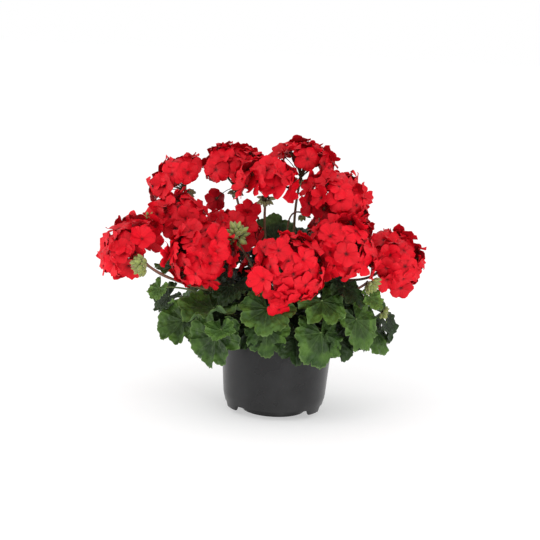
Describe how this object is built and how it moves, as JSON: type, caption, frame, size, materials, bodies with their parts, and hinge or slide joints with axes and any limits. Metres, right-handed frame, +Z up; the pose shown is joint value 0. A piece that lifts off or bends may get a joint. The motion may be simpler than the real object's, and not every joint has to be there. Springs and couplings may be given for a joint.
{
  "type": "potted flowering plant",
  "caption": "Red zonal geranium in a round dark nursery pot, with rounded flower heads on stalks, green bud clusters, lobed leaves, stems and potting soil.",
  "frame": {"origin": "middle of the flat disc under the pot, on which it stands", "axes": "+Z up, -Y towards the front of the plant, +X to the right seen from the front, across its widest spread"},
  "size_m": [0.4489, 0.309, 0.378],
  "materials": {
    "pot": "dark grey moulded plastic with a soft sheen",
    "soil": "damp dark brown potting mix with pale flecks",
    "stem": "woody green-brown bark with leaf scars",
    "stalk": "smooth brown-green flower stalk",
    "petals": "velvety vivid red petals with faint veins and dark red centres",
    "buds": "light green sepals with a fine fuzz",
    "leaf": "soft matt green leaf with a darker zone, raised veins and a pale crimped edge"
  },
  "bodies": {
    "root": {"bud_cluster_center": "buds", "bud_cluster_left": "buds", "bud_cluster_right": "buds", "bud_cluster_right_high": "buds", "bud_cluster_top": "buds", "flower_head_back_left": "petals", "flower_head_back_left_top": "petals", "flower_head_back_right": "petals", "flower_head_back_right_top": "petals", "flower_head_center": "petals", "flower_head_center_top": "petals", "flower_head_front": "petals", "flower_head_front_left": "petals", "flower_head_front_right": "petals", "flower_head_left": "petals", "flower_head_left_low": "petals", "flower_head_left_top": "petals", "flower_head_right_low": "petals", "flower_head_right_top": "petals", "flower_stalk_back_left": "stalk", "flower_stalk_back_left_top": "stalk", "flower_stalk_back_right": "stalk", "flower_stalk_back_right_top": "stalk", "flower_stalk_center": "stalk", "flower_stalk_center_top": "stalk", "flower_stalk_front": "stalk", "flower_stalk_front_left": "stalk", "flower_stalk_front_right": "stalk", "flower_stalk_left": "stalk", "flower_stalk_left_low": "stalk", "flower_stalk_left_top": "stalk", "flower_stalk_right_low": "stalk", "flower_stalk_right_top": "stalk", "leaf_back": "leaf", "leaf_back_hanging": "leaf", "leaf_back_left_hanging": "leaf", "leaf_back_left_low": "leaf", "leaf_back_right_hanging": "leaf", "leaf_back_right_low": "leaf", "leaf_front": "leaf", "leaf_front_hanging": "leaf", "leaf_front_left": "leaf", "leaf_front_left_hanging": "leaf", "leaf_front_right": "leaf", "leaf_front_right_hanging": "leaf", "leaf_left": "leaf", "leaf_left_back": "leaf", "leaf_left_low": "leaf", "leaf_right": "leaf", "leaf_right_front": "leaf", "leaf_right_high": "leaf", "leaf_right_low": "leaf", "leaf_top": "leaf", "pot": "pot", "potting_soil": "soil", "stem_back_left": "stem", "stem_back_right": "stem", "stem_center": "stem", "stem_front_left": "stem", "stem_front_right": "stem"}
  },
  "joints": []
}
